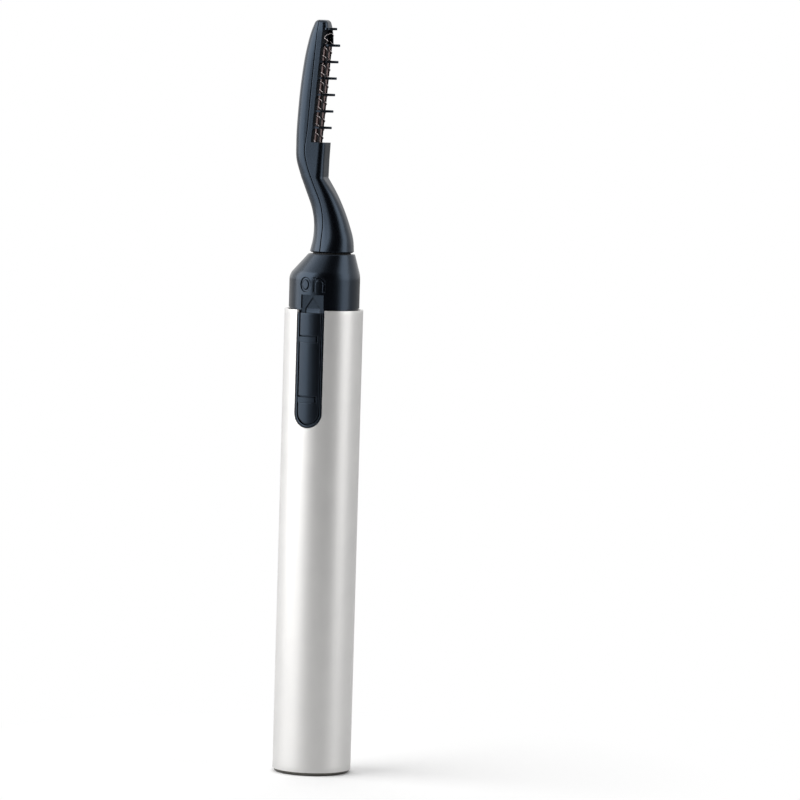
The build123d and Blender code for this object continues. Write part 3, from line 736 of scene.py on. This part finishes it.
web_middles = tooth_top - tooth_pitch * np.arange(tooth_count)
window_tops = (web_middles - web / 2)[:, None]
window_feet = np.append(web_middles[1:] + web / 2, block_top)[:, None]
corner_rise = window_corner * (1 - np.cos(arc_angles(9)))
window_rows = np.concatenate([window_feet + corner_rise, window_tops - corner_rise[::-1]], axis=1)
window_rows = window_rows[::-1].ravel()
block_rows = np.linspace(crease, block_top, 30)[1:]
closure_rows = np.linspace(closure, top_rows[0], 8)[:-1]
front_height = np.concatenate([foot_rows, neck_steps, block_rows, window_rows, closure_rows, top_rows])
first_window_row = len(foot_rows) + len(neck_steps) + len(block_rows)
in_window = np.zeros(len(front_height), bool)
in_window[first_window_row : first_window_row + len(window_rows)] = True
sizes = head_sizes(front_height)
parting = through(parting_line, front_height)
# distance from the nearest window's edges, less than 0 inside it
to_edge = np.maximum(front_height - window_tops, window_feet - front_height).min(axis=0)
floor = comb_floor(front_height) + rounded(-to_edge, window_corner)
# each row runs from the parting line to the front face, or in a window to its floor, with its
# points closest near both ends
face = np.where(in_window, floor, sizes[:, 1])[:, None]
side = np.concatenate([[0, 0.004, 0.012, 0.03], np.sin(np.linspace(0.06, np.pi / 2, 34))])[None, :]
x = parting + (face - parting) * side
y = half_width(x, sizes) - rounded(x - parting, parting_edge)
y = y - np.where(in_window[:, None], rounded(face - x, window_edge), 0)
flat = np.linspace(-1, 1, 9)[None, 1:-1]
edge_y = y[:, -1:]
x = np.concatenate([x, face + 0 * flat, x[:, ::-1]], axis=1)
y = np.concatenate([-y, edge_y * flat, y[:, ::-1]], axis=1)
z = front_height[:, None] + 0 * x
comb_grids = [(np.stack([x, y, z], axis=-1), True)]

# teeth: a broad root that narrows quickly to a slim spike with a round tip; the section is an
# ellipse squared up by a power below 1
ring_front = 0.65
tooth_sink = 0.3
tooth_root, tooth_tip = 0.65, 0.12
root_thick, tip_thick = 0.26, 0.235
tooth_taper, tooth_squareness = 1.8, 0.6
round_from = 0.96
round_share = 0.04
tooth_reach = np.full(tooth_count, 2.46)
tooth_reach[0] = 1.5
round_steps = round_from + round_share * np.sin(arc_angles(7)[1:])
run = np.concatenate([np.linspace(0, round_from, 24), round_steps])[:, None]
closing = np.sqrt(np.clip(1 - ((run - round_from) / round_share) ** 2, 0, None))
closing = np.where(run > round_from, closing, 1)
across = (tooth_tip + (tooth_root - tooth_tip) * (1 - run) ** tooth_taper) * closing
thick = (root_thick + (tip_thick - root_thick) * run) * closing
swing = np.linspace(0, 2 * np.pi, 25)[None, :-1]
for middle, reach in zip(web_middles, tooth_reach):
    root = min(coil_axis(middle) + ring_front, closure_front) - tooth_sink
    tip = coil_axis(middle) + reach
    x = root + (tip - root) * run + 0 * swing
    y = across * np.sign(np.cos(swing)) * np.abs(np.cos(swing)) ** tooth_squareness
    z = middle + thick * np.sign(np.sin(swing)) * np.abs(np.sin(swing)) ** tooth_squareness
    comb_grids.append((np.stack([x, y, z], axis=-1), True))

# the top window is blind: a thin wall closes its far side, a hair inside the head's own surface
blind_wall = 0.25
behind_floor, behind_face, wall_scale = 0.2, 0.05, 0.995
rise = np.linspace(web_middles[1], web_middles[0], 9)
sizes = head_sizes(rise)
back = comb_floor(rise)[:, None] - behind_floor
x = back + (sizes[:, 1:2] - behind_face - back) * np.linspace(0, 1, 14)[None, :]
y = half_width(x, sizes) * wall_scale
x = np.concatenate([x, x[:, ::-1]], axis=1)
y = np.concatenate([y, y[:, ::-1] - blind_wall], axis=1)
comb_grids.append((np.stack([x, y, rise[:, None] + 0 * x], axis=-1), True))
comb = build("head_comb_shell", comb_grids)

# the same nylon, left dull in the windows: rougher and less glossy from just behind the floor's
# line to half a millimetre ahead of that, between the block and the closure
dull_from, dull_reach = -0.1, 0.5
dull_roughness = 0.6
plain_specular, dull_specular = 0.5, 0.15
comb_plastic = black_moulding("black_nylon_with_dull_pockets", nylon_roughness, nylon_grain, nylon_relief)
tree = comb_plastic.node_tree
shader = tree.nodes["Principled BSDF"]
place = add_node(tree, "TexCoord").outputs["Object"]
line = (MM * (floor_at_block - comb_lean * block_top + dull_from), 0, 0)
moved = add_node(tree, "VectorMath", {0: place, 1: line}, operation="SUBTRACT").outputs[0]
lean = (1, 0, -comb_lean)
ahead = add_node(tree, "VectorMath", {0: moved, 1: lean}, operation="DOT_PRODUCT").outputs["Value"]
height = add_node(tree, "SeparateXYZ", {0: place}).outputs["Z"]
above = add_node(tree, "Math", {0: height, 1: block_top * MM}, operation="GREATER_THAN")
below = add_node(tree, "Math", {0: height, 1: closure * MM}, operation="LESS_THAN")
near_floor = add_node(tree, "Math", {0: ahead, 1: dull_reach * MM}, operation="LESS_THAN")
pocket = add_node(tree, "Math", {0: ahead, 1: 0.0}, operation="GREATER_THAN")
for limit in (above, below, near_floor):
    pocket = add_node(tree, "Math", {0: pocket.outputs[0], 1: limit.outputs[0]}, operation="MULTIPLY")
for socket, plain, dull in (
    ("Roughness", nylon_roughness, dull_roughness),
    ("Specular IOR Level", plain_specular, dull_specular),
):
    varied = add_node(tree, "MapRange", {"Value": pocket.outputs[0], "To Min": plain, "To Max": dull})
    tree.links.new(varied.outputs[0], shader.inputs[socket])
dress(comb, comb_plastic, "head_moulding", "head_unit", "head_front_shell")

# webs: thin plates across the comb, each drilled for the two heater coils, a hair narrower than
# the head so that the two surfaces don't coincide
hole_radius = 0.5
coil_half_spacing = 1.4
web_edge = 0.05
web_root, web_scale = 0.2, 0.998
swing = np.linspace(0, 2 * np.pi, 33)[:-1]
hole_circle = hole_radius * np.stack([np.cos(swing), np.sin(swing)], axis=-1)
plates = []
for middle in web_middles:
    sizes = head_sizes(np.array([middle]))
    root = comb_floor(middle) + web_root
    tip = min(coil_axis(middle) + ring_front, sizes[0, 1])
    x = root + (tip - root) * np.sin(np.linspace(0, np.pi / 2, 20))[None, :]
    y = half_width(x, sizes)[0] * web_scale
    outline = np.stack([np.concatenate([x[0], x[0, ::-1]]), np.concatenate([-y, y[::-1]])], axis=-1)
    holes = [hole_circle + (coil_axis(middle), side * coil_half_spacing) for side in (-1, 1)]
    drawing = bpy.data.curves.new("web", "CURVE")
    drawing.dimensions = "2D"
    drawing.fill_mode = "BOTH"
    drawing.extrude = web / 2 * MM
    for path in (outline, *holes):
        line = drawing.splines.new("POLY")
        line.points.add(len(path) - 1)
        line.points.foreach_set("co", np.pad(path * MM, ((0, 0), (0, 2))).ravel())
        line.use_cyclic_u = True
    carrier = bpy.data.objects.new("web", drawing)
    plate = bpy.data.meshes.new_from_object(carrier)
    plate.transform(Matrix.Translation((0, 0, middle * MM)))
    bpy.data.objects.remove(carrier)
    plates.append(plate)
work = bmesh.new()
for plate in plates:
    work.from_mesh(plate)
    bpy.data.meshes.remove(plate)
doubled = 1e-7
bmesh.ops.remove_doubles(work, verts=work.verts, dist=doubled)
bmesh.ops.recalc_face_normals(work, faces=work.faces)
webs = smooth_object("comb_webs", work)
ease_edges(webs, web_edge, 2)
dress(webs, head_plastic, "head_moulding", "head_unit", "head_front_shell")

# ================= Heater =================
# Two dark glazed ceramic rods, each with a lengthwise groove, and a thin resistance wire wound
# round each with an open pitch through the webs; the two wires are joined across at the top.
core_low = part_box("heater_cores")[0] / MM
core_past_middle = 0.15       # the rods end inside the second web, just below the blind window
# corners of the rod's grooved outline about its own line; each side is drawn in equal steps
core_outline = np.array([(-0.22, -0.21), (-0.01, 0.04), (0.25, 0.16), (0.13, 0.27), (-0.27, 0.15)])
side_steps = np.linspace(0, 1, 9)[:-1, None]
next_corner = np.roll(core_outline, -1, axis=0)
outline = (core_outline[:, None] + (next_corner - core_outline)[:, None] * side_steps).reshape(-1, 2)
rise = np.linspace(core_low.z, web_middles[1] + core_past_middle, 9)[:, None]
rods = []
for side in (-1, 1):
    x = coil_axis(rise) + outline[None, :, 0]
    y = side * coil_half_spacing + outline[None, :, 1] + 0 * rise
    rods.append((np.stack([x, y, rise + 0 * x], axis=-1), True))
cores = build("heater_cores_glazed", rods)
# dark glazed ceramic: nearly black, with bright, faintly warm reflections
glaze = {"IOR": 2.1, "Specular Tint": srgb("f0d4d2")}
glazed = coating("dark_glazed_ceramic", "180a0c", "0c0506", 0.28, 0.03, grain=0.1, relief=0.0006, extra=glaze)
dress(cores, glazed, "heater_core", "head_unit", "heater_cores")

wire_radius = 0.085
wire_line = 0.355
coil_foot = block_top + 0.1
coil_pitch = 1.624
coil_turns = 12
turn_steps = 40
first_angles = np.radians([290, 179])  # where the two wires start, turned from +X towards +Y
wire_sides = 16


def tube_along(path, radius):
    """Round tube about a path: its rings stand square to the path.

    A ring's first axis is the path's direction crossed with +Z, its second the direction crossed
    with the first, and its points are the path's plus radius times cosine and sine along the two.
    """
    ahead = np.gradient(path, axis=0)
    ahead /= np.linalg.norm(ahead, axis=1, keepdims=True)
    first = np.cross(ahead, (0, 0, 1))
    first /= np.linalg.norm(first, axis=1, keepdims=True)
    second = np.cross(ahead, first)
    swing = np.linspace(0, 2 * np.pi, wire_sides + 1)[None, :-1, None]
    return path[:, None] + radius * (first[:, None] * np.cos(swing) + second[:, None] * np.sin(swing))


windings, ends = [], []
for side, first_angle in zip((-1, 1), first_angles):
    # a part turn more, so that the wire ends where it faces the other coil
    total = 2 * np.pi * coil_turns + first_angle + side * np.pi / 2
    turn = np.linspace(0, total, coil_turns * turn_steps)
    height = coil_foot + coil_pitch * turn / (2 * np.pi)
    x = coil_axis(height) + wire_line * np.cos(first_angle - turn)
    y = side * coil_half_spacing + wire_line * np.sin(first_angle - turn)
    path = np.stack([x, y, height], axis=-1)
    windings.append((tube_along(path, wire_radius), True))
    ends.append(path[-1])
link = ends[0] + (ends[1] - ends[0]) * np.linspace(0, 1, 9)[:, None]
windings.append((tube_along(link, wire_radius), True))
heater = build("heater_windings", windings)
# drawn resistance wire, lightly oxidised: a pale, slightly patchy grey metal with a narrow glint
resistance = coating(
    "oxidised_resistance_alloy",
    "cac2c2",
    "9c9494",
    roughness=0.3,
    spread=0.04,
    grain=0.06,
    relief=0.0008,
    metallic=1.0,
)
dress(heater, resistance, "heater_wire", "head_unit", "heater_coil")

# ================= Neck ring =================
# Dull black ring of moulded elastomer between the collar and the head, pressed in from inside the
# collar; it keeps the shape that its solid has.


def finish_solids(material, *names):
    """Puts a material on each named piece that keeps the shape of its solid."""
    for name in names:
        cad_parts[name].material_slots[0].material = material


# black elastomer: matte, so that the gap between collar and head stays dark
elastomer = coating("black_elastomer", "08080a", "050506", 0.75, 0.05, grain=0.15, relief=0.004)
finish_solids(elastomer, "neck_insert")

# ================= Inside =================
# What shows when the barrel is pulled off: the chassis, moulded in the collar's ABS, with the cell
# in its bay, the cell's and the switch's metal contacts, and three insulated leads to the heater.
finish_solids(moulded, "chassis")
# phosphor bronze strip: a warm metal with rolling lines along it
along_strip = (1, 1, 0.1)
strip = {"grain": 0.08, "relief": 0.001, "metallic": 1.0, "stretch": along_strip}
bronze = coating("rolled_spring_bronze", "b98d5a", "a87c4c", 0.32, 0.06, **strip)
finish_solids(bronze, "switch_wiper", "feed_contact", "load_contact")
# nickel plate on strip and wire: a brighter, faintly yellow grey
nickel = coating("nickel_plated_strip", "c4c2bc", "aeaca6", 0.28, 0.06, **strip)
finish_solids(nickel, "battery_spring", "battery_button", "heater_terminals")
finish_solids(nickel, "negative_contact", "negative_strap", "positive_contact")
# shrunk film on the cell: a slate grey with a slightly metallic gloss
sleeve = coating("cell_sleeve_film", "5a6066", "50565c", 0.3, 0.04, grain=0.3, relief=0.002, metallic=0.2)
finish_solids(sleeve, "battery_can")
# lead insulation: coloured through, with a soft satin surface
cover = {"roughness": 0.45, "spread": 0.04, "grain": 0.1, "relief": 0.004}
finish_solids(coating("red_lead_insulation", "a02a22", "8c221c", **cover), "feed_lead", "live_lead")
finish_solids(coating("black_lead_insulation", "1c1c1e", "151517", **cover), "return_lead")
